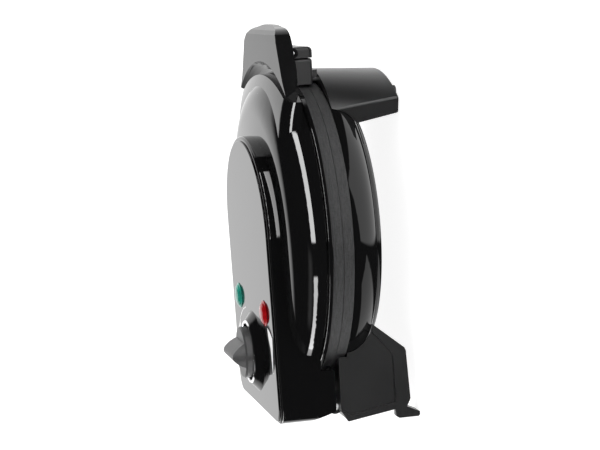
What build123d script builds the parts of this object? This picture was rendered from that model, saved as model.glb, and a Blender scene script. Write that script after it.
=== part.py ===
"""Electric mini donut maker: base and lid with seven ring moulds each, opened by a rear hinge.

The part is modelled as it is used, flat on its feet with the lid shut: +Z is up, the lid
handle points along -Y and the hinge is at the +Y end. The origin is the middle of the
footprint, on the table. Sizes are millimetres. Heights in the names ending in _z are measured
from the parting plane between the two mould plates, and places along Y from the round body's
axis; the planes below carry both into the part's frame.
"""
from build123d import *
from math import cos, radians, sin
import os

# ---- driving dimensions -----------------------------------------------------------------
parting_z = 60.5            # height of the plates' parting plane above the table
body_y = 8.5                # the round body's axis, ahead of the footprint's middle
wall = 2.6                  # moulded plastic wall
gap = 0.3                   # clearance between faces of different bodies

# Mould plates
plate_radius = 110.0
plate_rim_depth = 7.4
plate_gap = 0.3             # between the closed plates
ring_count = 6              # moulds around the centre one
ring_spread = 68.0
ring_major = 18.5
ring_minor = 10.5
mould_wall = 2.4
plate_boss_radius = 5.5
plate_boss_end = 15.0
plate_screw_spread = 39.3
plate_screw_angles = (30, 150, 270)

# Base dish
dish_rim_z = -8.1
dish_low_radius = 95.5
dish_low_z = -28.5
dish_flat_radius = 88.5
dish_floor_z = -33.0

# Lid dome
lip_radius = 112.0
lip_low_z = 7.8
lip_high_z = 11.6
groove_radius = 109.8
groove_high_z = 12.8
lid_wall_radius = 111.5
shoulder_z = 20.0
shoulder_run = 22.0
shoulder_rise = 16.0
crown_z = 39.5
dome_slope = 0.025          # the dome leans down towards the hinge

# Boss on the front of the dome, behind the handle: its top falls away from the dome in steps
# given as (distance from the middle of the boss's round front, height)
boss_half_width = 78.0
boss_front_y = -116.4
boss_front_radius = 184.0
boss_low_z = 17.0
boss_edge_radius = 8.0
boss_top = [
    (150.0, 34.8), (157.7, 34.1), (163.8, 33.2), (171.0, 32.0), (177.3, 30.6), (184.0, 28.6),
]

# Bridge housing and control panel on the lid
face_z = 47.0               # panel face over the body's axis
face_slope = 0.019          # drop of the face towards the hinge
panel_step = 1.2
panel_half_width = 71.2
panel_nose = 65.1
panel_rear = 132.3
bridge_half_width = 74.4
bridge_nose = 68.3
bridge_rear = 134.1
nose_y = -3.2               # where the straight sides turn into the round nose
bridge_corner = 14.0
block_low_z = 2.7
block_front = 95.5

# Hinge
hinge_y = 125.5
hinge_z = 0.5
hinge_pin_radius = 2.5
hinge_bore_radius = 2.55
knuckle_radius = 5.5
knuckle_room = 6.1
knuckle_length = 15.0
lid_knuckle_x = 38.0
base_knuckle_x = 54.0
hinge_pin_length = 126.0

# Rear legs and hinge block on the base
leg_x = 72.0
leg_wall = 3.0
leg_border_rise = 1.2
leg_top_z = -1.6
leg_outline = [
    (50, -1.6), (127.6, -1.6), (135.2, -6.4), (129.7, -41.8), (135.0, -42.6), (136.5, -45), (136.5, -59.5),
    (135.2, -60.5), (133.0, -60.5), (128.4, -51), (122.7, -53.8), (86.8, -52), (84.5, -51), (62, -24), (50, -20),
]
border_line = [
    (64, -21.9), (87.3, -41.3), (94.7, -42.2), (124.6, -42.7), (130.5, -8), (125.5, -1), (50, -1), (50, -10),
]
foot_hook = [
    (129.4, -44.5), (136.5, -44.5), (136.5, -59.5), (135.2, -60.5), (133.0, -60.5), (129.4, -52.5),
]
foot_hook_width = 12.0
deck_depth = 3.6
foot_z = -60.5
leg_tab_y = (103, 115)
leg_tab_depth = 3.0
leg_tab_screw_x = 61.5
rib_x = 40.0
rib_y = 120.0
rear_cover_z = -38.0
rear_cover_depth = 2.0
gland_z = -24.0

# Front leg
leg_half_width = 62.0
leg_foot_arc = (-97.0, -116.0)      # front face at the foot: at its ends and in the middle
leg_foot_back = (-85.7, -103.5)     # back face at the foot
leg_top_arc = (-90.7, -118.9)       # the same at the top
leg_top_back = (-76.5, -106.0)
leg_corner = 2.5
pad_depth = 1.5
pad_radius = 4.0
pad_x = 46.5
pad_y = -100.8
leg_screw_angles = (-72, -108)
leg_screw_radius = 105.6
leg_screw_z = -14.0

# Lid handle: plan of one side from the pointed foot to the nose, then the side view of its nose
handle_low_z = 16.8
handle_high_z = 28.8
foot_tip = (80.5, -102.2)
handle_flank = [(71.5, -113.5), (65.5, -124.0), (60.0, -134.0), (55.6, -142.0), (48.5, -147.6), (30, -151.3)]
handle_nose_y = -153.5
handle_nose = [
    (-151.0, 16.8), (-152.6, 17.6), (-153.6, 19.4), (-153.0, 21.4), (-149.3, 25.8), (-146.2, 27.9),
    (-141.0, 28.8),
]
foot_slope = [(67.5, 16.8), (77, 20.4), (80.6, 28.8)]
handle_arch_radius = 152.0
handle_arch_y = -126.5
cove_floor_z = 21.6
cove_rise = [(10.0, 0.0), (6.2, 0.9), (3.2, 2.7), (1.2, 5.0), (0.0, 7.6)]
handle_screw_x = 26.0
handle_screw_z = 18.9

# Latch under the handle
ear_x = 33.0
ear_width = 4.0
latch_half_width = 30.0
latch_pivot_y = -132.0
latch_pivot_z = 11.6
latch_barrel_radius = 3.6
latch_pin_radius = 1.25
latch_bore_radius = 1.3
latch_depth = 8.2
latch_low_z = -4.2
keeper_low_z = -3.8
keeper_high_z = 13.2
keeper_front = -127.6
keeper_neck_half = 22.0

# Dial
dial_y = 90.5
bezel_base_radius = 30.5
bezel_mid_radius = 26.5
bezel_mid_height = 3.2
bezel_top_radius = 24.0
bezel_top_height = 5.4
bezel_bore_radius = 21.4
trim_ring_height = 0.7
trim_ring_inner = 21.7
knob_radius = 19.4
knob_foot_height = 5.4
knob_skirt_height = 11.0
knob_grip_height = 21.0
knob_grip_width = 19.0
shaft_radius = 3.0
thermostat_top = -4.6       # below the panel face

# Indicator lamps
lamp_x = 45.6
lamp_y = 54.6
lens_radius = 8.6
lens_flange_radius = 9.6
lens_stem_radius = 6.4

# Heating parts
element_radius = 3.2
element_z = 18.4
element_half_sweep = 150
reflector_z = 23.4
reflector_sheet = 0.6

# Screws
screw_radius = 1.45
screw_hole_radius = 1.5
screw_head_radius = 3.2
screw_head_depth = 2.2
counterbore_radius = 3.6

# ---- planes and axes --------------------------------------------------------------------
body_centre = Vector(0, body_y, parting_z)
body_axis = Axis(body_centre, (0, 0, 1))
front_view = Plane(body_centre, x_dir=(1, 0, 0), z_dir=(0, -1, 0))
dome_axis = Axis(body_centre, (0, dome_slope, 1))
dome_view = Plane(body_centre, x_dir=(1, 0, 0), z_dir=(0, -1, dome_slope))
hinge_point = body_centre + Vector(0, hinge_y, hinge_z)
panel_plane = Plane(body_centre + Vector(0, 0, face_z), x_dir=(1, 0, 0), z_dir=(0, face_slope, 1))
shoulder_plane = panel_plane.offset(-panel_step)


def level(z):
    """Plan view at height z over the parting plane, centred on the body's axis."""
    return Plane(body_centre + Vector(0, 0, z), x_dir=(1, 0, 0), z_dir=(0, 0, 1))


def side_view(x=0):
    """View along the X axis: sketch x is along Y, sketch y is height over the parting plane."""
    return Plane(body_centre + Vector(x, 0, 0), x_dir=(0, 1, 0), z_dir=(1, 0, 0))


def panel_spot(x, y, height=0):
    """Plane square to the control panel, at a place on its face."""
    centre = panel_plane.from_local_coords((x, y, height))
    return Plane(centre, x_dir=(1, 0, 0), z_dir=panel_plane.z_dir)


def panel_section(x, y):
    """Plane that cuts the control panel at right angles, for turned pieces on it."""
    spot = panel_spot(x, y)
    return Plane(spot.origin, x_dir=(1, 0, 0), z_dir=spot.y_dir * -1)


def panel_axis(x, y):
    """Axis square to the control panel."""
    spot = panel_spot(x, y)
    return Axis(spot.origin, spot.z_dir)


def around(radius, angles):
    """Places on a circle about the body's axis, for a plan view."""
    return [(radius * cos(radians(a)), radius * sin(radians(a))) for a in angles]


ring_places = [(0, 0)] + around(ring_spread, [60 * i for i in range(ring_count)])
plate_screw_places = around(plate_screw_spread, plate_screw_angles)
dial_spot = panel_spot(0, dial_y)
lamp_places = (-lamp_x, lamp_x)


def keep(part, name):
    """Name a finished piece and write it."""
    part.label = name
    export_step(part, f"parts/{name}.step")


# ---- shared shapes ----------------------------------------------------------------------
def polygon(plane, points):
    """Closed straight-sided outline on a plane."""
    with BuildSketch(plane) as outline:
        with BuildLine():
            Polyline(*points, close=True)
        make_face()
    return outline.sketch


def dish_section(inset):
    """Half section through the base dish, inset from its outer face."""
    rim = plate_radius - inset
    low = dish_low_radius - inset
    flat = dish_flat_radius - inset / 2
    floor = dish_floor_z + inset
    low_z = dish_low_z + inset / 2
    with BuildSketch(front_view) as section:
        with BuildLine():
            Line((0, dish_rim_z), (rim, dish_rim_z))
            ThreePointArc((rim, dish_rim_z), ((rim + low) / 2 + 3.4, -20.0), (low, low_z))
            ThreePointArc((low, low_z), (low - 2.2, floor + 1.6), (flat, floor))
            Line((flat, floor), (0, floor))
            Line((0, floor), (0, dish_rim_z))
        make_face()
    return section.sketch


def dome_section(inset):
    """Half section through the lid dome, inset from its outer face."""
    side = lid_wall_radius - inset
    top = shoulder_z + shoulder_rise - inset
    middle = side - shoulder_run
    run = shoulder_run * sin(radians(45))
    rise = (top - shoulder_z) * sin(radians(45))
    crown = crown_z - inset
    crown_start = (-middle, 2 * (crown - top))
    with BuildSketch(dome_view) as section:
        with BuildLine():
            Line((0, 0), (side, 0))
            Line((side, 0), (side, shoulder_z))
            Spline(
                (side, shoulder_z),
                (middle + run, shoulder_z + rise),
                (middle, top),
                tangents=((0, 1), crown_start),
            )
            Spline((middle, top), (middle / 2, (top + 3 * crown) / 4), (0, crown), tangents=(crown_start, (-1, 0)))
            Line((0, crown), (0, 0))
        make_face()
    return section.sketch


def bridge_outline(plane, half_width, nose, rear, corner):
    """Plan of the bridge: a round nose, straight sides and rounded rear corners."""
    with BuildSketch(plane) as outline:
        with Locations((0, nose_y)):
            Ellipse(half_width, nose)
            Rectangle(2 * half_width, rear - nose_y, align=(Align.CENTER, Align.MIN))
        fillet(outline.vertices().sort_by(Axis.Y)[-2:], corner)
    return outline.sketch


def mould_plate(side):
    """One cast mould plate; side is 1 for the lid's and -1 for the base's."""
    face = side * plate_gap / 2
    with BuildPart() as plate:
        with BuildSketch(level(0)):
            Circle(plate_radius - 6)
        extrude(amount=side * (plate_rim_depth - 2.5))
        with Locations(*[level(face).from_local_coords((x, y, 0)) for x, y in ring_places]):
            Torus(ring_major, ring_minor + mould_wall)
        split(bisect_by=level(face), keep=Keep.TOP if side > 0 else Keep.BOTTOM)
        with BuildSketch(level(face)):
            Circle(plate_radius)
            Circle(plate_radius - 7, mode=Mode.SUBTRACT)
        extrude(amount=side * plate_rim_depth)
        with BuildSketch(level(side * 3)):
            with Locations(*plate_screw_places):
                Circle(plate_boss_radius)
        extrude(amount=side * (plate_boss_end - 3))
        with Locations(*[level(face).from_local_coords((x, y, 0)) for x, y in ring_places]):
            Torus(ring_major, ring_minor, mode=Mode.SUBTRACT)
        with BuildSketch(level(side * plate_boss_end)):
            with Locations(*plate_screw_places):
                Circle(screw_hole_radius)
        extrude(amount=-side * (plate_boss_end - 4), mode=Mode.SUBTRACT)
    return plate.part


def heating_element(side):
    """Tubular heater laid on the backs of the moulds, open towards the hinge."""
    height = side * element_z
    with BuildPart() as element:
        with BuildLine(level(height)) as path:
            CenterArc((0, 0), ring_spread, 90 + 180 - element_half_sweep, 2 * element_half_sweep)
        with BuildSketch(Plane(path.line @ 0, z_dir=path.line % 0)):
            Circle(element_radius)
        sweep()
    return element.part


def element_ends(side):
    """Ceramic beads and steel pins on the two ends of a heater."""
    height = side * element_z
    with BuildPart() as ends:
        with BuildLine(level(height)) as path:
            arc = CenterArc((0, 0), ring_spread, 90 + 180 - element_half_sweep, 2 * element_half_sweep)
        for place, direction in ((arc @ 0, (arc % 0) * -1), (arc @ 1, arc % 1)):
            with BuildSketch(Plane(place, z_dir=direction)):
                Circle(element_radius + 0.8)
            extrude(amount=7)
            with BuildSketch(Plane(place + direction * 7, z_dir=direction)):
                Circle(1.2)
            extrude(amount=6)
    return ends.part


def reflector(side, radius):
    """Thin sheet-metal dish behind a heater, pierced for the plate bosses."""
    height = side * reflector_z
    with BuildPart() as sheet:
        with BuildSketch(level(height)):
            Circle(radius)
            with Locations(*plate_screw_places):
                Circle(plate_boss_radius + 1, mode=Mode.SUBTRACT)
        extrude(amount=side * reflector_sheet)
        with BuildSketch(level(height)):
            Circle(radius)
            Circle(radius - reflector_sheet, mode=Mode.SUBTRACT)
        extrude(amount=-side * 3)
    return sheet.part


def screw(plane, length, head_radius=screw_head_radius):
    """Pan-head screw: the head stands on the plane and the shank runs down from it."""
    with BuildPart() as body:
        with BuildSketch(plane):
            Circle(head_radius)
        extrude(amount=screw_head_depth)
        fillet(body.edges().sort_by(Axis(plane.origin, plane.z_dir))[-1], 0.6)
        with BuildSketch(plane):
            Circle(screw_radius)
        extrude(amount=-length)
        with BuildSketch(plane.offset(screw_head_depth)):
            Rectangle(3.6, 0.9)
            Rectangle(0.9, 3.6)
        extrude(amount=-1.1, mode=Mode.SUBTRACT)
    return body.part


def screw_holes(planes, depth, head_room):
    """Cutting shape for screws: a clearance hole with room for the head behind each plane."""
    with BuildPart() as holes:
        for plane in planes:
            with BuildSketch(plane):
                Circle(screw_hole_radius)
            extrude(amount=-depth)
            with BuildSketch(plane):
                Circle(counterbore_radius)
            extrude(amount=head_room)
    return holes.part


os.makedirs("parts", exist_ok=True)

# ---- base -------------------------------------------------------------------------------
dish_room = dish_section(-gap)

leg_screw_planes = []
for x, y in around(leg_screw_radius, leg_screw_angles):
    leg_screw_planes.append(Plane(body_centre + Vector(x, y, leg_screw_z), z_dir=(-x, -y, 0)))

with BuildPart() as base_housing:
    revolve(dish_section(0), axis=body_axis)
    revolve(dish_section(wall), axis=body_axis, mode=Mode.SUBTRACT)
    with BuildSketch(level(dish_floor_z)):
        with Locations(*plate_screw_places):
            Circle(plate_boss_radius + 1)
    extrude(amount=-dish_floor_z - plate_boss_end - 0.1)
    with BuildSketch(level(dish_floor_z)):
        with Locations(*plate_screw_places):
            Circle(counterbore_radius)
    extrude(amount=5, mode=Mode.SUBTRACT)
    with BuildSketch(level(dish_floor_z)):
        with Locations(*plate_screw_places):
            Circle(screw_hole_radius)
    extrude(amount=-dish_floor_z, mode=Mode.SUBTRACT)
    with BuildSketch(level(dish_floor_z)):
        with Locations(*around(58, [20 * i for i in range(18)])):
            Circle(1.6)
    extrude(amount=wall, mode=Mode.SUBTRACT)
    add(screw_holes(leg_screw_planes, 7.4, 3), mode=Mode.SUBTRACT)
keep(base_housing.part, "base_housing")
keep(mould_plate(-1), "lower_plate")
keep(heating_element(-1), "lower_element")
keep(element_ends(-1), "lower_element_ends")
keep(reflector(-1, 88), "lower_reflector")
lower_screws = [
    screw(Plane(level(dish_floor_z + 5).from_local_coords((x, y, 0)), z_dir=(0, 0, -1)), 19)
    for x, y in plate_screw_places
]
keep(Compound(children=lower_screws), "lower_plate_screws")


def leg_section(height, front, back, inset=0):
    """Plan of the front leg at one height; front and back are the Y of each arc's ends and middle."""
    half = leg_half_width
    with BuildSketch(level(height)) as section:
        with BuildLine():
            ThreePointArc((-half, front[0]), (0, front[1]), (half, front[0]))
            Line((half, front[0]), (half - 3, back[0]))
            ThreePointArc((half - 3, back[0]), (0, back[1]), (3 - half, back[0]))
            Line((3 - half, back[0]), (-half, front[0]))
        make_face()
        fillet(section.vertices().sort_by(Axis.Y)[:2], leg_corner)
        if inset:
            offset(amount=-inset, kind=Kind.INTERSECTION, mode=Mode.REPLACE)
    return section.sketch


# Front leg: a curved block under the handle that leans out towards its foot
leg_low_z = foot_z + pad_depth
leg_high_z = dish_rim_z - 0.6
with BuildPart() as leg_hollow:
    loft(sections=[
        leg_section(leg_low_z + wall, leg_foot_arc, leg_foot_back, wall),
        leg_section(leg_high_z - wall, leg_top_arc, leg_top_back, wall),
    ])

with BuildPart() as front_leg:
    loft(sections=[
        leg_section(leg_low_z, leg_foot_arc, leg_foot_back),
        leg_section(leg_high_z, leg_top_arc, leg_top_back),
    ])
    fillet(front_leg.edges().group_by(Axis.Z)[0], 1.5)
    add(leg_hollow.part, mode=Mode.SUBTRACT)
    for plane in leg_screw_planes:
        with BuildSketch(plane.offset(-3)):
            Circle(3.4)
        extrude(amount=-6)
    revolve(dish_room, axis=body_axis, mode=Mode.SUBTRACT)
    add(screw_holes(leg_screw_planes, 7.4, 2), mode=Mode.SUBTRACT)
keep(front_leg.part, "front_leg")
keep(Compound(children=[screw(plane, 7) for plane in leg_screw_planes]), "front_leg_screws")

with BuildPart() as front_pads:
    with BuildSketch(level(foot_z)):
        with Locations((-pad_x, pad_y), (pad_x, pad_y)):
            Circle(pad_radius)
    extrude(amount=pad_depth)
    fillet(front_pads.edges().group_by(Axis.Z)[0], 0.6)
keep(front_pads.part, "front_pads")

deck_low_z = leg_top_z - deck_depth


def facing_down(x, y, z):
    """Plane under a piece, for a screw driven up into it."""
    return Plane(body_centre + Vector(x, y, z), x_dir=(1, 0, 0), z_dir=(0, 0, -1))


def tab_screw_planes(side):
    """Places of the two screws that hold one rear leg to the hinge block."""
    return [facing_down(side * leg_tab_screw_x, y, deck_low_z - leg_tab_depth) for y in leg_tab_y]


def rear_leg(side):
    """Side leg of the base's rear: a flat wall with a raised border and a hooked foot."""
    inner_face = side * (leg_x - leg_border_rise)
    with BuildPart() as leg:
        extrude(polygon(side_view(inner_face), leg_outline), amount=-side * leg_wall, dir=(1, 0, 0))
        extrude(polygon(side_view(inner_face), leg_outline), amount=side * leg_border_rise, dir=(1, 0, 0))
        extrude(polygon(side_view(inner_face), border_line), amount=side * 2, dir=(1, 0, 0), mode=Mode.SUBTRACT)
        extrude(polygon(side_view(inner_face), foot_hook), amount=-side * foot_hook_width, dir=(1, 0, 0))
        with BuildSketch(level(deck_low_z)):
            with Locations((side * (leg_tab_screw_x + 2), 109)):
                Rectangle(13, 24)
        extrude(amount=-leg_tab_depth)
        revolve(dish_room, axis=body_axis, mode=Mode.SUBTRACT)
        with BuildSketch(level(dish_rim_z - 0.1)):
            Circle(lip_radius + 0.6)
        extrude(amount=20, mode=Mode.SUBTRACT)
        add(screw_holes(tab_screw_planes(side), 12, 0.01), mode=Mode.SUBTRACT)
    return leg.part


keep(rear_leg(-1), "left_rear_leg")
keep(rear_leg(1), "right_rear_leg")


def hinge_barrels(places, radius, length):
    """Round barrels on the hinge's line, for adding or cutting."""
    with BuildPart() as barrels:
        for x in places:
            with BuildSketch(Plane(hinge_point + Vector(x - length / 2, 0, 0), z_dir=(1, 0, 0))):
                Circle(radius)
            extrude(amount=length)
    return barrels.part


lid_knuckle_places = (-lid_knuckle_x, lid_knuckle_x)
base_knuckle_places = (-base_knuckle_x, base_knuckle_x)
inner_leg_x = leg_x - leg_border_rise - leg_wall

# Hinge block: the deck and rear wall that join the two rear legs and carry two knuckles
block_section = [
    (88, leg_top_z), (127.6, leg_top_z), (133.6, -5.4), (129.4, -38), (126.6, -38),
    (126.6, leg_top_z - deck_depth), (88, leg_top_z - deck_depth),
]
rear_screw_planes = [facing_down(x, rib_y, rear_cover_z) for x in (-rib_x, rib_x)]
with BuildPart() as hinge_block:
    extrude(polygon(side_view(-inner_leg_x), block_section), amount=2 * inner_leg_x)
    revolve(dish_room, axis=body_axis, mode=Mode.SUBTRACT)
    with BuildSketch(level(-12)):
        Circle(lip_radius + 0.6)
    extrude(amount=30, mode=Mode.SUBTRACT)
    with BuildSketch(level(rear_cover_z + rear_cover_depth)):
        with Locations((-rib_x, rib_y), (rib_x, rib_y)):
            Rectangle(9, 14)
    extrude(amount=leg_top_z - 1 - rear_cover_z - rear_cover_depth)
    add(screw_holes(rear_screw_planes, 10, 0.01), mode=Mode.SUBTRACT)
    for side in (-1, 1):
        add(screw_holes(tab_screw_planes(side), 6, 0.01), mode=Mode.SUBTRACT)
    add(hinge_barrels(base_knuckle_places, knuckle_radius, knuckle_length))
    add(hinge_barrels(lid_knuckle_places, knuckle_room, knuckle_length + 1.2), mode=Mode.SUBTRACT)
    with BuildSketch(Plane(hinge_point - Vector(hinge_pin_length / 2, 0, 0), z_dir=(1, 0, 0))):
        Circle(hinge_bore_radius)
    extrude(amount=hinge_pin_length, mode=Mode.SUBTRACT)
    with BuildSketch(Plane(body_centre + Vector(0, 140, gland_z), z_dir=(0, -1, 0))):
        Circle(5.1)
    extrude(amount=20, mode=Mode.SUBTRACT)
keep(hinge_block.part, "hinge_block")
leg_screws = [screw(plane, 5.8) for side in (-1, 1) for plane in tab_screw_planes(side)]
keep(Compound(children=leg_screws), "rear_leg_screws")

# Rear cover: closes the space under the hinge block, where the mains terminals are
with BuildPart() as rear_cover:
    with BuildSketch(level(rear_cover_z)):
        with Locations((0, 86)):
            Rectangle(2 * inner_leg_x - 0.4, 40.4, align=(Align.CENTER, Align.MIN))
    extrude(amount=rear_cover_depth)
    with BuildSketch(level(rear_cover_z)):
        with Locations((0, 86)):
            Rectangle(2 * inner_leg_x - 0.4, 2, align=(Align.CENTER, Align.MIN))
    extrude(amount=20)
    revolve(dish_room, axis=body_axis, mode=Mode.SUBTRACT)
    add(screw_holes(rear_screw_planes, 10, 0.01), mode=Mode.SUBTRACT)
keep(rear_cover.part, "rear_cover")
keep(Compound(children=[screw(plane, 9.5) for plane in rear_screw_planes]), "rear_cover_screws")

with BuildPart() as terminal_block:
    with BuildSketch(level(deck_low_z - 0.1)):
        with Locations((0, 119.5)):
            Rectangle(34, 11)
    extrude(amount=-10)
    with BuildSketch(level(deck_low_z - 10.1)):
        with Locations((-11, 119.5), (0, 119.5), (11, 119.5)):
            Circle(2.6)
    extrude(amount=5, mode=Mode.SUBTRACT)
keep(terminal_block.part, "terminal_block")

with BuildPart() as hinge_pin:
    with BuildSketch(Plane(hinge_point - Vector(hinge_pin_length / 2, 0, 0), z_dir=(1, 0, 0))):
        Circle(hinge_pin_radius)
    extrude(amount=hinge_pin_length)
    chamfer(hinge_pin.edges().filter_by(GeomType.CIRCLE), 0.5)
keep(hinge_pin.part, "hinge_pin")

# Cord gland: the sleeve in the rear wall where a mains lead passes into the base
with BuildPart() as cord_gland:
    with BuildSketch(Plane(body_centre + Vector(0, 135, gland_z), z_dir=(0, -1, 0))):
        Circle(7.2)
        Circle(3.6, mode=Mode.SUBTRACT)
    extrude(amount=2.6)
    with BuildSketch(Plane(body_centre + Vector(0, 135, gland_z), z_dir=(0, -1, 0))):
        Circle(5.0)
        Circle(3.6, mode=Mode.SUBTRACT)
    extrude(amount=11)
keep(cord_gland.part, "cord_gland")

# ---- lid --------------------------------------------------------------------------------
def turned_about(y, points):
    """Solid turned about an upright axis at a place on the middle line; points are (radius, height)."""
    place = body_centre + Vector(0, y, 0)
    with BuildPart() as piece:
        section = Plane(place, x_dir=(1, 0, 0), z_dir=(0, -1, 0))
        revolve(polygon(section, points), axis=Axis(place, (0, 0, 1)))
    return piece.part


with BuildPart() as front_boss:
    boss_place = body_centre + Vector(0, boss_front_y + boss_front_radius, 0)
    with BuildSketch(Plane(boss_place, x_dir=(1, 0, 0), z_dir=(0, -1, 0))):
        with BuildLine():
            Spline(*boss_top)
            Polyline(boss_top[-1], (boss_front_radius, boss_low_z), (boss_top[0][0], boss_low_z), boss_top[0])
        make_face()
    revolve(axis=Axis(boss_place, (0, 0, 1)))
    with BuildSketch(level(boss_low_z)):
        with Locations((0, boss_front_y)):
            Rectangle(2 * boss_half_width, -boss_front_y - 50, align=(Align.CENTER, Align.MIN))
    extrude(amount=30, mode=Mode.INTERSECT)
    flanks = front_boss.faces().filter_by(Axis.X)
    fillet(flanks.edges().filter_by(lambda edge: edge.center().Z > parting_z + 27), boss_edge_radius)

with BuildPart() as dome_solid:
    revolve(dome_section(0), axis=dome_axis)
    split(bisect_by=level(lip_low_z), keep=Keep.TOP)
    add(front_boss.part)

handle_screw_planes = [
    Plane(body_centre + Vector(x, 5.4 - lid_wall_radius, handle_screw_z), x_dir=(1, 0, 0), z_dir=(0, 1, 0))
    for x in (-handle_screw_x, handle_screw_x)
]
handle_screw_holes = screw_holes(handle_screw_planes, 18, 6)

with BuildPart() as lid_lip:
    with BuildSketch(level(lip_low_z)):
        Circle(lip_radius)
    extrude(amount=lip_high_z - lip_low_z)
    fillet(lid_lip.edges().filter_by(GeomType.CIRCLE), 0.8)

with BuildPart() as lid_housing:
    add(dome_solid.part)
    split(bisect_by=level(groove_high_z), keep=Keep.TOP)
    with BuildSketch(level(lip_high_z)):
        Circle(groove_radius)
    extrude(amount=groove_high_z - lip_high_z)
    add(lid_lip.part)
    revolve(dome_section(wall + 0.6), axis=dome_axis, mode=Mode.SUBTRACT)
    with BuildSketch(level(plate_boss_end + 0.1)):
        with Locations(*plate_screw_places):
            Circle(plate_boss_radius)
    extrude(amount=crown_z - 2 - plate_boss_end)
    with BuildSketch(level(crown_z - 7)):
        with Locations(*plate_screw_places):
            Circle(counterbore_radius)
    extrude(amount=10, mode=Mode.SUBTRACT)
    with BuildSketch(level(plate_boss_end)):
        with Locations(*plate_screw_places):
            Circle(screw_hole_radius)
    extrude(amount=crown_z - plate_boss_end, mode=Mode.SUBTRACT)
    with BuildSketch(level(20)):
        with Locations((0, dial_y)):
            Rectangle(36, 30)
    extrude(amount=30, mode=Mode.SUBTRACT)
    add(handle_screw_holes, mode=Mode.SUBTRACT)
keep(lid_housing.part, "lid_housing")
keep(Compound(children=[screw(plane, 17) for plane in handle_screw_planes]), "handle_screws")
keep(mould_plate(1), "upper_plate")
keep(heating_element(1), "upper_element")
keep(element_ends(1), "upper_element_ends")
keep(reflector(1, 74), "upper_reflector")
upper_screws = [
    screw(Plane(level(crown_z - 7).from_local_coords((x, y, 0)), z_dir=(0, 0, 1)), 22)
    for x, y in plate_screw_places
]
keep(Compound(children=upper_screws), "upper_plate_screws")

# Steel bracket in the bridge with the lid's two knuckles
with BuildPart() as lid_knuckles:
    with BuildSketch(level(block_low_z + wall + 0.2)):
        with Locations((0, 120.5)):
            Rectangle(2 * lid_knuckle_x + knuckle_length, 10)
    extrude(amount=2)
    for x in lid_knuckle_places:
        with BuildSketch(side_view(x - knuckle_length / 2)):
            with Locations((hinge_y - 2, hinge_z + 3.4)):
                Rectangle(5, 6.8)
        extrude(amount=knuckle_length)
    add(hinge_barrels(lid_knuckle_places, knuckle_radius, knuckle_length))
    with BuildSketch(Plane(hinge_point - Vector(60, 0, 0), z_dir=(1, 0, 0))):
        Circle(hinge_bore_radius)
    extrude(amount=120, mode=Mode.SUBTRACT)
keep(lid_knuckles.part, "lid_knuckles")

# Bridge housing: the round-nosed cover on the dome that runs down to the hinge
lid_chamfer = [(126.5, block_low_z - 4), (126.5, block_low_z), (134.2, 21.5), (150, 21.5), (150, -2)]
with BuildPart() as bridge_room:
    with BuildSketch(level(-10)):
        Circle(lid_wall_radius)
    extrude(amount=10 + lip_low_z)
    with BuildSketch(level(-10)):
        Circle(lip_radius + 0.2)
    extrude(amount=10 + groove_high_z)
    add(dome_solid.part)

with BuildPart() as bridge_housing:
    extrude(bridge_outline(level(block_low_z), bridge_half_width, bridge_nose, bridge_rear, bridge_corner),
            amount=60)
    split(bisect_by=shoulder_plane, keep=Keep.BOTTOM)
    fillet(bridge_housing.faces().sort_by(Axis.Z)[-1].edges(), 1.6)
    extrude(polygon(side_view(-90), lid_chamfer), amount=180, mode=Mode.SUBTRACT)
    extrude(
        bridge_outline(level(block_low_z + wall), bridge_half_width - wall, bridge_nose - wall,
                       bridge_rear - wall - 1.2, bridge_corner - wall),
        amount=face_z - panel_step - wall - 3.4 - block_low_z,
        mode=Mode.SUBTRACT,
    )
    add(bridge_room.part, mode=Mode.SUBTRACT)
    with BuildSketch(level(-10)):
        with Locations((0, block_front)):
            Rectangle(200, 80, align=(Align.CENTER, Align.MAX))
    extrude(amount=10 + groove_high_z - 0.4, mode=Mode.SUBTRACT)
    for x in lamp_places:
        with BuildSketch(panel_spot(x, lamp_y)):
            Circle(lens_stem_radius + 0.1)
        extrude(amount=-9, mode=Mode.SUBTRACT)
    with BuildSketch(dial_spot):
        Circle(5.2)
    extrude(amount=-9, mode=Mode.SUBTRACT)
    add(hinge_barrels((0,), knuckle_room, hinge_pin_length + 1.2), mode=Mode.SUBTRACT)
    add(lid_knuckles.part, mode=Mode.SUBTRACT)
keep(bridge_housing.part, "bridge_housing")

# Control panel: thin glossy plate on top of the bridge
with BuildPart() as control_panel:
    extrude(bridge_outline(panel_plane, panel_half_width, panel_nose, panel_rear, bridge_corner - 1.5),
            amount=-panel_step)
    for x in lamp_places:
        with BuildSketch(panel_spot(x, lamp_y)):
            Circle(lens_stem_radius + 0.1)
        extrude(amount=-5, mode=Mode.SUBTRACT)
    with BuildSketch(dial_spot):
        Circle(5.2)
    extrude(amount=-5, mode=Mode.SUBTRACT)
    fillet(control_panel.faces().sort_by(Axis.Z)[-1].outer_wire().edges(), 0.5)
keep(control_panel.part, "control_panel")


def turned(x, y, points):
    """Piece turned about an axis square to the panel; points are (radius, height) pairs."""
    with BuildPart() as piece:
        revolve(polygon(panel_section(x, y), points), axis=panel_axis(x, y))
    return piece.part


# Dial: raised collar, bright trim ring, knob with a bar grip, and the thermostat below it
keep(
    turned(0, dial_y, [
        (bezel_bore_radius, 0), (bezel_base_radius, 0), (bezel_mid_radius, bezel_mid_height),
        (bezel_top_radius, bezel_top_height), (bezel_bore_radius, bezel_top_height),
    ]),
    "dial_bezel",
)
keep(
    turned(0, dial_y, [
        (trim_ring_inner, bezel_top_height), (bezel_top_radius - 0.2, bezel_top_height),
        (bezel_top_radius - 0.6, bezel_top_height + trim_ring_height),
        (trim_ring_inner + 0.2, bezel_top_height + trim_ring_height),
    ]),
    "trim_ring",
)

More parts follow.
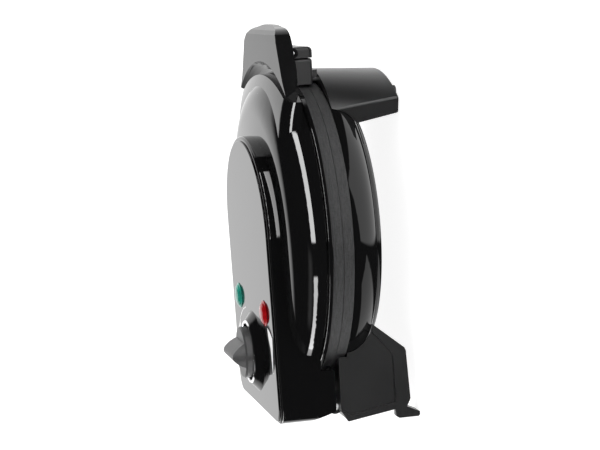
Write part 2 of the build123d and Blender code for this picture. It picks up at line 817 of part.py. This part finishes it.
knob_grip_plane = Plane(dial_spot.from_local_coords((-knob_radius, 0, 0)), x_dir=dial_spot.y_dir,
                        z_dir=(1, 0, 0))
grip_half = knob_grip_width / 2
with BuildPart() as knob:
    with BuildSketch(knob_grip_plane):
        with BuildLine():
            Line((grip_half, knob_foot_height + 1), (grip_half, knob_skirt_height - 1))
            ThreePointArc(
                (grip_half, knob_skirt_height - 1), (grip_half * 0.62, 16.8), (2.2, knob_grip_height - 0.6)
            )
            ThreePointArc((2.2, knob_grip_height - 0.6), (0, knob_grip_height), (-2.2, knob_grip_height - 0.6))
            ThreePointArc(
                (-2.2, knob_grip_height - 0.6), (-grip_half * 0.62, 16.8), (-grip_half, knob_skirt_height - 1)
            )
            Line((-grip_half, knob_skirt_height - 1), (-grip_half, knob_foot_height + 1))
            Line((-grip_half, knob_foot_height + 1), (grip_half, knob_foot_height + 1))
        make_face()
    extrude(amount=2 * knob_radius)
    with BuildSketch(dial_spot.offset(knob_foot_height)):
        Circle(knob_radius - 1.4)
    extrude(amount=knob_grip_height, mode=Mode.INTERSECT)
    add(turned(0, dial_y, [
        (0, knob_foot_height), (knob_radius, knob_foot_height),
        (knob_radius, knob_skirt_height - 1.2), (knob_radius - 1.0, knob_skirt_height),
        (0, knob_skirt_height),
    ]))
    with BuildSketch(dial_spot.offset(knob_foot_height)):
        Circle(shaft_radius + 0.05)
    extrude(amount=10, mode=Mode.SUBTRACT)
    with BuildSketch(dial_spot.offset(knob_foot_height)):
        Circle(knob_radius - 2)
        Circle(shaft_radius + 2.5, mode=Mode.SUBTRACT)
    extrude(amount=2.6, mode=Mode.SUBTRACT)
keep(knob.part, "knob")

with BuildPart() as thermostat_shaft:
    with BuildSketch(dial_spot.offset(thermostat_top + 0.3)):
        Circle(shaft_radius)
        with Locations((0, shaft_radius)):
            Rectangle(2 * shaft_radius, 1.6, mode=Mode.SUBTRACT)
    extrude(amount=knob_foot_height + 9.6 - thermostat_top)
keep(thermostat_shaft.part, "thermostat_shaft")

with BuildPart() as thermostat:
    with BuildSketch(dial_spot.offset(thermostat_top)):
        RectangleRounded(30, 24, 2)
    extrude(amount=-12)
    with BuildSketch(dial_spot.offset(thermostat_top - 8)):
        with Locations((-8, 13), (0, 13), (8, 13)):
            Rectangle(5, 7)
    extrude(amount=0.8)
keep(thermostat.part, "thermostat")


def lens(x):
    """Domed lamp lens with a flange on the panel and a stem through it."""
    return turned(x, lamp_y, [
        (0, -4), (lens_stem_radius, -4), (lens_stem_radius, 0), (lens_flange_radius, 0),
        (lens_flange_radius, 0.5), (lens_radius, 0.9), (lens_radius - 0.9, 1.9), (lens_radius - 2.8, 2.7),
        (lens_radius - 5.2, 3.1), (0, 3.2),
    ])


def neon_lamp(x):
    """Small glow lamp lying under its lens."""
    start = panel_spot(x, lamp_y - 5, -5.9)
    with BuildPart() as bulb:
        with BuildSketch(Plane(start.origin, z_dir=start.y_dir)):
            Circle(1.7)
        extrude(amount=10)
        fillet(bulb.edges().filter_by(GeomType.CIRCLE), 1.2)
    return bulb.part


keep(lens(lamp_x), "green_lens")
keep(lens(-lamp_x), "red_lens")
keep(neon_lamp(lamp_x), "green_lamp")
keep(neon_lamp(-lamp_x), "red_lamp")

# Lid handle: a curved slab with pointed feet, chamfered nose and a concave cove to the dome
handle_profile = [(-90, handle_low_z), *handle_nose, (-90, handle_high_z)]
cove_cut = turned_about(handle_arch_y + handle_arch_radius, [
    (0, cove_floor_z),
    *[(handle_arch_radius - inward, cove_floor_z + rise) for inward, rise in cove_rise],
    (handle_arch_radius, handle_high_z + 10), (0, handle_high_z + 10),
])

with BuildPart() as handle_blank:
    with BuildSketch(level(handle_low_z)):
        with BuildLine():
            Spline(foot_tip, *handle_flank, (0, handle_nose_y), tangents=((-0.5, -1), (-1, 0)))
            Polyline((0, handle_nose_y), (0, -98), (boss_half_width - 1, -98), foot_tip)
        make_face()
        mirror(about=Plane.YZ)
    extrude(amount=handle_high_z - handle_low_z)

with BuildPart() as lid_handle:
    add(handle_blank.part)
    extrude(polygon(side_view(-90), handle_profile), amount=180, mode=Mode.INTERSECT)
    add(cove_cut, mode=Mode.SUBTRACT)
    add(dome_solid.part, mode=Mode.SUBTRACT)
    for side in (-1, 1):
        tip = [(side * x, z) for x, z in foot_slope + [(95, handle_high_z), (95, 10), (67.5, 10)]]
        extrude(polygon(Plane(body_centre + Vector(0, -95, 0), x_dir=(1, 0, 0), z_dir=(0, -1, 0)), tip),
                amount=60, mode=Mode.SUBTRACT)
    for x in (-ear_x, ear_x):
        with BuildSketch(side_view(x - ear_width / 2)):
            with Locations((latch_pivot_y, (handle_low_z + latch_pivot_z) / 2)):
                Rectangle(7.6, handle_low_z - latch_pivot_z + 0.02)
            with Locations((latch_pivot_y, latch_pivot_z)):
                Circle(3.8)
        extrude(amount=ear_width)
    with BuildSketch(side_view(-ear_x - ear_width)):
        with Locations((latch_pivot_y, latch_pivot_z)):
            Circle(latch_bore_radius)
    extrude(amount=2 * (ear_x + ear_width), mode=Mode.SUBTRACT)
    add(handle_screw_holes, mode=Mode.SUBTRACT)
keep(lid_handle.part, "lid_handle")

# Latch: a finger clip that hangs from the handle in front of a fixed keeper on the base
with BuildPart() as latch:
    with BuildSketch(side_view(-latch_half_width)) as latch_profile:
        with Locations((latch_pivot_y, latch_low_z)):
            Rectangle(latch_depth, latch_pivot_z - latch_low_z, align=(Align.CENTER, Align.MIN))
        fillet(latch_profile.vertices().sort_by(Axis.Z)[:2], 3.4)
        with Locations((latch_pivot_y, latch_pivot_z)):
            Circle(latch_barrel_radius)
    extrude(amount=2 * latch_half_width)
    fillet(latch.edges().filter_by(Axis.Z).group_by(Axis.Y)[0], 2.4)
    with BuildSketch(side_view(-latch_half_width)):
        with Locations((latch_pivot_y, latch_pivot_z)):
            Circle(latch_bore_radius)
    extrude(amount=2 * latch_half_width, mode=Mode.SUBTRACT)
keep(latch.part, "latch")

with BuildPart() as latch_pin:
    with BuildSketch(side_view(-ear_x - ear_width / 2)):
        with Locations((latch_pivot_y, latch_pivot_z)):
            Circle(latch_pin_radius)
    extrude(amount=2 * ear_x + ear_width)
keep(latch_pin.part, "latch_pin")

with BuildPart() as latch_keeper:
    with BuildSketch(level(keeper_low_z)):
        with Locations((0, keeper_front)):
            Rectangle(2 * latch_half_width, 20, align=(Align.CENTER, Align.MIN))
    extrude(amount=keeper_high_z - keeper_low_z)
    fillet(latch_keeper.edges().filter_by(Axis.Z).group_by(Axis.Y)[0], 2.4)
    fillet(latch_keeper.edges().filter_by(Axis.X).group_by(Axis.Z)[0].sort_by(Axis.Y)[0], 2.0)
    with BuildSketch(level(dish_rim_z - 0.6)):
        with Locations((0, leg_top_arc[1] + 0.2)):
            Rectangle(2 * keeper_neck_half, 6, align=(Align.CENTER, Align.MIN))
    extrude(amount=keeper_low_z - dish_rim_z + 2)
    with BuildSketch(level(dish_rim_z - 1)):
        Circle(lip_radius + 0.6)
    extrude(amount=40, mode=Mode.SUBTRACT)
keep(latch_keeper.part, "latch_keeper")

with BuildPart() as thermal_fuse:
    with BuildSketch(Plane(body_centre + Vector(-6, plate_screw_spread, 7.7), z_dir=(1, 0, 0))):
        Circle(2.6)
    extrude(amount=12)
    fillet(thermal_fuse.edges().filter_by(GeomType.CIRCLE), 0.8)
keep(thermal_fuse.part, "thermal_fuse")
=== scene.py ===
"""Looks of the donut maker: the studio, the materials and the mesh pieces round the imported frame.

Metres, +Z up. The closed donut maker stands on its feet with its handle towards -Y and its hinge
at the +Y end. The camera is rolled onto its side, so that -Y is up in the picture.
"""
from math import cos, radians, sin

import bmesh
import bpy
from mathutils import Matrix, Vector


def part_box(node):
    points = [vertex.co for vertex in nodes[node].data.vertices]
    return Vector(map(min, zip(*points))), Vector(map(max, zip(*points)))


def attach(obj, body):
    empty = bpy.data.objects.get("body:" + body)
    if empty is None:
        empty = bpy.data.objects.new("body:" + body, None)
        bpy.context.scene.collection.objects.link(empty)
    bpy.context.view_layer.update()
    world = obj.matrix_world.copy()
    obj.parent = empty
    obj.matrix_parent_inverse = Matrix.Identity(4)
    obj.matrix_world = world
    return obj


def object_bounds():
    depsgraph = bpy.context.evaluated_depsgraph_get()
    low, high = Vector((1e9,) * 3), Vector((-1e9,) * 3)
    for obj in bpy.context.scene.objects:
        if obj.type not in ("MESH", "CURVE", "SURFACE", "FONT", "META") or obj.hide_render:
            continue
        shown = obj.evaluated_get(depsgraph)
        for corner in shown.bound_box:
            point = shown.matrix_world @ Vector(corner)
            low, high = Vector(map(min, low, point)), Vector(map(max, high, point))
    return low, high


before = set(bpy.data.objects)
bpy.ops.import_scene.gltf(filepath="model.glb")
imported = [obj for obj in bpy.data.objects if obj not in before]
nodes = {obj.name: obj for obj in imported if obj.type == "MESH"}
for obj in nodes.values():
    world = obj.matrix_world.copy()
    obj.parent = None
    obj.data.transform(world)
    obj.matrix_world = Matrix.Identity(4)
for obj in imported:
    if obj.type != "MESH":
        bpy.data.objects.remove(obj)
cad_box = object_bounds()
scene = bpy.context.scene
mm = 0.001
white = (1, 1, 1, 1)

# ---- driving values ---------------------------------------------------------------------
camera_aim = (0, 6.6, 66.0)             # millimetres
camera_back = (-0.96775, -0.12626, 0.21799)
camera_distance = 1.4388
camera_roll = -94.8                     # degrees, from level onto the side
camera_lens = 114.77
even_light = 1.15                       # what matt surfaces are lit by
dark_studio = 0.012                     # what glossy surfaces mirror between the softboxes
floor_half = 6.0
panel_slope = 0.019                     # fall of the control panel towards the hinge
dial_from_axis = 90.5                   # millimetres from the body's axis to the dial's
print_lift = 0.00006                    # top of the printed ink over the panel
print_depth = 0.0001


# ---- camera -----------------------------------------------------------------------------
def make_camera():
    """Looks along the parting plane from -X, a little from above, rolled onto its side."""
    aim = Vector(camera_aim) * mm
    back = Vector(camera_back).normalized()
    roll = radians(camera_roll)
    level_right = Vector((0, 0, 1)).cross(back).normalized()
    right = level_right * cos(roll) + back.cross(level_right) * sin(roll)
    up = back.cross(right)
    data = bpy.data.cameras.new("camera")
    data.lens = camera_lens
    data.sensor_width = 36.0
    camera = bpy.data.objects.new("camera", data)
    turn = Matrix((right, up, back)).transposed().to_4x4()
    camera.matrix_world = Matrix.Translation(aim + back * camera_distance) @ turn
    scene.collection.objects.link(camera)
    scene.camera = camera


make_camera()


# ---- shader tree helper -----------------------------------------------------------------------
class Tree:
    """A shader node tree with short calls for adding and linking nodes."""

    def __init__(self, owner):
        owner.use_nodes = True
        self.nodes = owner.node_tree.nodes
        self.links = owner.node_tree.links
        self.nodes.clear()

    def add(self, kind, inputs=(), **settings):
        """Adds a node; inputs are (socket, value or output) pairs."""
        node = self.nodes.new(kind)
        for name, value in settings.items():
            setattr(node, name, value)
        for socket, value in inputs:
            self.put(node, socket, value)
        return node

    def put(self, node, socket, value):
        """Sets a socket, or links an output to it."""
        if isinstance(value, bpy.types.NodeSocket):
            self.links.new(value, node.inputs[socket])
        else:
            node.inputs[socket].default_value = value

    def math(self, operation, *values, clamp=False):
        """One number from a Math node."""
        node = self.add("ShaderNodeMath", enumerate(values), operation=operation, use_clamp=clamp)
        return node.outputs[0]

    def dot(self, vector, direction):
        """Length of a vector along a direction."""
        node = self.add("ShaderNodeVectorMath", ((0, vector), (1, direction)), operation="DOT_PRODUCT")
        return node.outputs["Value"]

    def ramp(self, value, low, high, out_low=0.0, out_high=1.0):
        """Smooth step from out_low at low to out_high at high."""
        node = self.add(
            "ShaderNodeMapRange",
            (("Value", value), ("From Min", low), ("From Max", high),
             ("To Min", out_low), ("To Max", out_high)),
            interpolation_type="SMOOTHSTEP",
        )
        return node.outputs["Result"]

    def noise(self, vector, scale, detail=2.0, roughness=0.5):
        """Value of a noise texture."""
        node = self.add(
            "ShaderNodeTexNoise",
            (("Vector", vector), ("Scale", scale), ("Detail", detail), ("Roughness", roughness)),
        )
        return node.outputs["Fac"]


# ---- studio -----------------------------------------------------------------------------
def softbox(tree, direction, facing, across, half_width, half_height, soft, strength):
    """Brightness of a rectangular softbox far away, facing the object from a direction.

    Half sizes are in units of its distance, and soft is the width of its blurred edge.
    """
    facing = Vector(facing).normalized()
    side = Vector(across).cross(facing).normalized()
    rise = facing.cross(side)
    ahead = tree.dot(direction, facing)
    clear = tree.math("MAXIMUM", ahead, 0.001)
    shade = tree.math("GREATER_THAN", ahead, 0.001)
    for axis, half in ((side, half_width), (rise, half_height)):
        offset = tree.math("ABSOLUTE", tree.math("DIVIDE", tree.dot(direction, axis), clear))
        shade = tree.math("MULTIPLY", shade, tree.ramp(offset, half - soft, half + soft, 1.0, 0.0))
    return tree.math("MULTIPLY", shade, strength)


def strip(tree, direction, facing, half_turn, low, high, soft, strength):
    """Brightness of a long curved strip light round the object.

    It spans half_turn degrees to both sides of its facing, between two elevations in degrees.
    """
    flat = Vector((facing[0], facing[1], 0)).normalized()
    rise = tree.dot(direction, (0, 0, 1))
    square = tree.math("SUBTRACT", 1.0, tree.math("MULTIPLY", rise, rise))
    level = tree.math("SQRT", tree.math("MAXIMUM", square, 1e-6))
    turn = tree.math("DIVIDE", tree.dot(direction, flat), level)
    low, high, edge = (sin(radians(value)) for value in (low, high, soft))
    above = tree.ramp(rise, low - edge, low + edge)
    below = tree.ramp(rise, high - edge, high + edge, 1.0, 0.0)
    shade = tree.math("MULTIPLY", above, below)
    ends = cos(radians(half_turn))
    shade = tree.math("MULTIPLY", shade, tree.ramp(turn, ends - edge, ends + edge))
    return tree.math("MULTIPLY", shade, strength)


def make_world():
    """White studio: even light on the object, and softboxes that glossy surfaces mirror.

    The boxes stand behind the far side, under the base and over the near rear corner. The strips
    run round the near side, and draw the narrow highlights along the lid's shoulder.
    """
    world = bpy.data.worlds.new("studio")
    scene.world = world
    world.cycles.sampling_method = "NONE"
    tree = Tree(world)
    direction = tree.add("ShaderNodeTexCoord").outputs["Generated"]
    boxes = [
        # facing, across, half width, half height, blurred edge, strength
        ((1.0, 0.05, 0.10), (0, 0, 1), 3.2, 0.72, 0.16, 1.22),
        ((-0.1, -0.4, -1.0), (0, 1, 0), 1.1, 0.6, 0.03, 1.2),
        ((0.5, 1.0, -1.0), (0, 1, 0), 1.2, 0.35, 0.03, 0.9),
        ((-0.64, 0.64, 0.45), (0, 0, 1), 0.55, 0.2, 0.18, 0.5),
    ]
    strips = [
        # facing, half turn, low, high, blurred edge, strength
        ((-0.77, -0.64), 44.0, -7.5, 9.0, 0.8, 14.0),
        ((-0.27, 0.96), 44.0, -7.5, 6.0, 0.8, 12.0),
    ]
    mirrored = dark_studio
    for box in boxes:
        mirrored = tree.math("ADD", mirrored, softbox(tree, direction, *box))
    for light in strips:
        mirrored = tree.math("ADD", mirrored, strip(tree, direction, *light))
    path = tree.add("ShaderNodeLightPath")
    glossy = tree.add("ShaderNodeBackground", (("Color", white), ("Strength", mirrored)))
    even = tree.add("ShaderNodeBackground", (("Color", white), ("Strength", even_light)))
    mix = tree.add("ShaderNodeMixShader", (("Fac", path.outputs["Is Glossy Ray"]),
                                           (1, even.outputs[0]), (2, glossy.outputs[0])))
    tree.add("ShaderNodeOutputWorld", (("Surface", mix.outputs[0]),))


def make_floor():
    """Pale floor under the feet; glossy surfaces mirror the studio instead of it."""
    half = floor_half
    low = cad_box[0].z
    corners = [(-half, -half, low), (half, -half, low), (half, half, low), (-half, half, low)]
    mesh = bpy.data.meshes.new("floor")
    mesh.from_pydata(corners, [], [(0, 1, 2, 3)])
    floor = bpy.data.objects.new("floor", mesh)
    scene.collection.objects.link(floor)
    floor.visible_glossy = False
    material = bpy.data.materials.new("floor")
    tree = Tree(material)
    paint = tree.add("ShaderNodeBsdfDiffuse", (("Color", (0.45, 0.45, 0.45, 1)),))
    glow = tree.add("ShaderNodeEmission", (("Color", white), ("Strength", 0.88)))
    both = tree.add("ShaderNodeAddShader", ((0, paint.outputs[0]), (1, glow.outputs[0])))
    tree.add("ShaderNodeOutputMaterial", (("Surface", both.outputs[0]),))
    mesh.materials.append(material)


make_world()
make_floor()
scene.view_settings.view_transform = "Standard"


# ---- materials --------------------------------------------------------------------------
def principled(name, base, **values):
    """New material with a Principled shader; base is a linear colour."""
    material = bpy.data.materials.new(name)
    tree = Tree(material)
    shader = tree.add("ShaderNodeBsdfPrincipled", (("Base Color", (*base, 1)),))
    for socket, value in values.items():
        tree.put(shader, socket.replace("_", " ").title().replace("Ior", "IOR"), value)
    tree.add("ShaderNodeOutputMaterial", (("Surface", shader.outputs[0]),))
    place = tree.add("ShaderNodeTexCoord").outputs["Object"]
    return material, tree, shader, place


def set_bump(tree, shader, height, depth):
    """Bump of a depth in metres from a height value of 0 to 1."""
    bump = tree.add("ShaderNodeBump", (("Strength", 1.0), ("Distance", depth), ("Height", height)))
    tree.put(shader, "Normal", bump.outputs[0])


def glossy_plastic(name, base, roughness, smudge, shine=0.5):
    """Piano-black moulded plastic: faint flow ripple, and smudges that dull the gloss a little."""
    material, tree, shader, place = principled(name, base, ior=1.5)
    tree.put(shader, "Specular IOR Level", shine)
    patches = tree.noise(place, 38.0, 3.0)
    tree.put(shader, "Roughness", tree.ramp(patches, 0.35, 0.75, roughness, roughness + smudge))
    set_bump(tree, shader, tree.noise(place, 60.0, 1.0), 2e-6)
    return material


def textured_plastic(name, base, roughness, grain, depth, shine=0.5):
    """Satin moulded plastic with a spark-eroded grain; grain is its size in metres."""
    material, tree, shader, place = principled(name, base, ior=1.5)
    tree.put(shader, "Specular IOR Level", shine)
    fine = tree.noise(place, 1 / grain, 3.0, 0.6)
    broad = tree.noise(place, 45.0, 2.0)
    tree.put(shader, "Roughness", tree.ramp(broad, 0.3, 0.7, roughness - 0.012, roughness + 0.015))
    tone = tree.add("ShaderNodeMix", (("Factor", fine), (6, (*[c * 0.8 for c in base], 1)),
                                      (7, (*[c * 1.2 for c in base], 1))), data_type="RGBA")
    tree.put(shader, "Base Color", tone.outputs[2])
    set_bump(tree, shader, fine, depth)
    return material


def cast_nonstick(name):
    """Cast plate with a dark non-stick coat: turning marks run round the rim."""
    material, tree, shader, place = principled(name, (0.028, 0.028, 0.028), ior=1.45)
    tree.put(shader, "Specular IOR Level", 0.14)
    split = tree.add("ShaderNodeSeparateXYZ", (("Vector", place),))
    turn = tree.math("ARCTAN2", split.outputs["Y"], split.outputs["X"])
    marks_place = tree.add("ShaderNodeCombineXYZ", (
        ("X", tree.math("MULTIPLY", turn, 14.0)), ("Y", tree.math("MULTIPLY", split.outputs["Z"], 900.0))))
    marks = tree.noise(marks_place.outputs[0], 1.0, 4.0, 0.6)
    speckle = tree.noise(place, 900.0, 3.0, 0.65)
    both = tree.math("ADD", tree.math("MULTIPLY", marks, 0.6), tree.math("MULTIPLY", speckle, 0.4))
    tone = tree.add("ShaderNodeMix", (("Factor", tree.ramp(both, 0.3, 0.7)), (6, (0.018, 0.018, 0.018, 1)),
                                      (7, (0.045, 0.045, 0.046, 1))), data_type="RGBA")
    tree.put(shader, "Base Color", tone.outputs[2])
    tree.put(shader, "Roughness", tree.ramp(both, 0.3, 0.7, 0.42, 0.6))
    set_bump(tree, shader, both, 3e-5)
    return material


def metal(name, base, roughness, grain, depth):
    """Bare or plated metal with a fine brushed grain."""
    material, tree, shader, place = principled(name, base, metallic=1.0)
    marks = tree.noise(place, 1 / grain, 4.0, 0.6)
    tree.put(shader, "Roughness", tree.ramp(marks, 0.3, 0.7, roughness * 0.8, roughness * 1.3))
    set_bump(tree, shader, marks, depth)
    return material


def clear_lens(name, base):
    """Coloured lamp lens: glassy skin over a tinted body with a faint mottle through it."""
    material, tree, shader, place = principled(name, base, ior=1.49)
    mottle = tree.noise(place, 260.0, 2.0)
    tone = tree.add("ShaderNodeMix", (("Factor", tree.ramp(mottle, 0.3, 0.7)),
                                      (6, (*[c * 0.75 for c in base], 1)),
                                      (7, (*[min(1, c * 1.2) for c in base], 1))), data_type="RGBA")
    tree.put(shader, "Base Color", tone.outputs[2])
    tree.put(shader, "Roughness", tree.ramp(mottle, 0.3, 0.8, 0.05, 0.12))
    tree.put(shader, "Subsurface Weight", 0.15)
    tree.put(shader, "Subsurface Radius", (0.002, 0.002, 0.002))
    return material


finishes = {
    "gloss_black": glossy_plastic("gloss_black", (0.004, 0.004, 0.0042), 0.02, 0.05),
    "panel_black": glossy_plastic("panel_black", (0.004, 0.004, 0.0042), 0.03, 0.05),
    "satin_black": textured_plastic("satin_black", (0.008, 0.008, 0.0082), 0.3, 0.0009, 2.4e-5, 0.26),
    "knob_black": textured_plastic("knob_black", (0.06, 0.06, 0.061), 0.34, 0.0006, 8e-6, 0.2),
    "cast_nonstick": cast_nonstick("cast_nonstick"),
    "steel": metal("steel", (0.56, 0.56, 0.57), 0.3, 0.0012, 4e-6),
    "chrome_trim": metal("chrome_trim", (0.8, 0.8, 0.81), 0.12, 0.002, 1e-6),
    "heater_tube": metal("heater_tube", (0.22, 0.21, 0.2), 0.45, 0.0009, 1e-5),
    "ceramic": textured_plastic("ceramic", (0.72, 0.69, 0.62), 0.5, 0.0008, 1e-5),
    "reflector_sheet": metal("reflector_sheet", (0.62, 0.63, 0.64), 0.25, 0.004, 8e-6),
    "rubber_pad": textured_plastic("rubber_pad", (0.012, 0.012, 0.012), 0.7, 0.0006, 1.5e-5),
    "green_lens": clear_lens("green_lens", (0.02, 0.24, 0.18)),
    "red_lens": clear_lens("red_lens", (0.3, 0.004, 0.006)),
    "lamp_glass": clear_lens("lamp_glass", (0.7, 0.72, 0.7)),
    "phenolic": textured_plastic("phenolic", (0.09, 0.04, 0.02), 0.45, 0.0008, 1e-5),
}

finishes["handle_black"] = glossy_plastic("handle_black", (0.006, 0.006, 0.0062), 0.08, 0.06, 0.11)
finishes["bezel_black"] = glossy_plastic("bezel_black", (0.004, 0.004, 0.0042), 0.08, 0.06, 0.3)

for node in nodes.values():
    slot_name = node.data.materials[0].name.split(".")[0]
    node.data.materials[0] = finishes[slot_name]
nodes["lid_handle"].data.materials[0] = finishes["handle_black"]
nodes["dial_bezel"].data.materials[0] = finishes["bezel_black"]

# ---- printed dial scale -----------------------------------------------------------------
def panel_height(y):
    """Height of the control panel's face at a place along the part's Y."""
    low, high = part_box("control_panel")
    fall = (y - low.y) / (high.y - low.y)
    return high.z - fall * panel_slope * (high.y - low.y)


def make_print(name, outline, body):
    """Thin printed patch on the control panel; outline is in millimetres from the body's axis."""
    mesh = bpy.data.meshes.new(name)
    shape = bmesh.new()
    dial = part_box("dial_bezel")
    centre = (dial[0] + dial[1]) / 2
    corners = []
    for x, y in outline:
        place = Vector((centre.x + x * mm, centre.y + (y - dial_from_axis) * mm, 0))
        place.z = panel_height(place.y) + print_lift
        corners.append(shape.verts.new(place))
    shape.faces.new(corners)
    grown = bmesh.ops.extrude_face_region(shape, geom=shape.faces[:])
    for vertex in grown["geom"]:
        if isinstance(vertex, bmesh.types.BMVert):
            vertex.co.z -= print_depth
    bmesh.ops.recalc_face_normals(shape, faces=shape.faces[:])
    shape.to_mesh(mesh)
    shape.free()
    piece = bpy.data.objects.new(name, mesh)
    scene.collection.objects.link(piece)
    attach(piece, body)
    mesh.materials.append(textured_plastic(name, (0.82, 0.82, 0.82), 0.4, 0.0006, 2e-6))


far_scale = [
    (25.2, 60.4), (36, 63.6), (44, 67.8), (50, 72.4), (52.6, 75.6), (59.6, 81.6), (61.0, 88), (60.4, 96),
    (58.2, 96), (56, 88), (51.4, 79.6), (51.2, 76.2), (49.2, 73.0), (43.4, 68.6), (35.6, 64.4), (25.0, 61.2),
]
near_scale = [
    (-51.7, 64.4), (-57.6, 65.5), (-67.0, 69.9), (-66.0, 77.6), (-63.4, 88), (-61.0, 97), (-60.2, 97),
    (-59.8, 91), (-59.6, 84), (-58.6, 78.7), (-54.2, 72.6),
]
make_print("scale_rise", far_scale, "lid")
make_print("scale_full", near_scale, "lid")
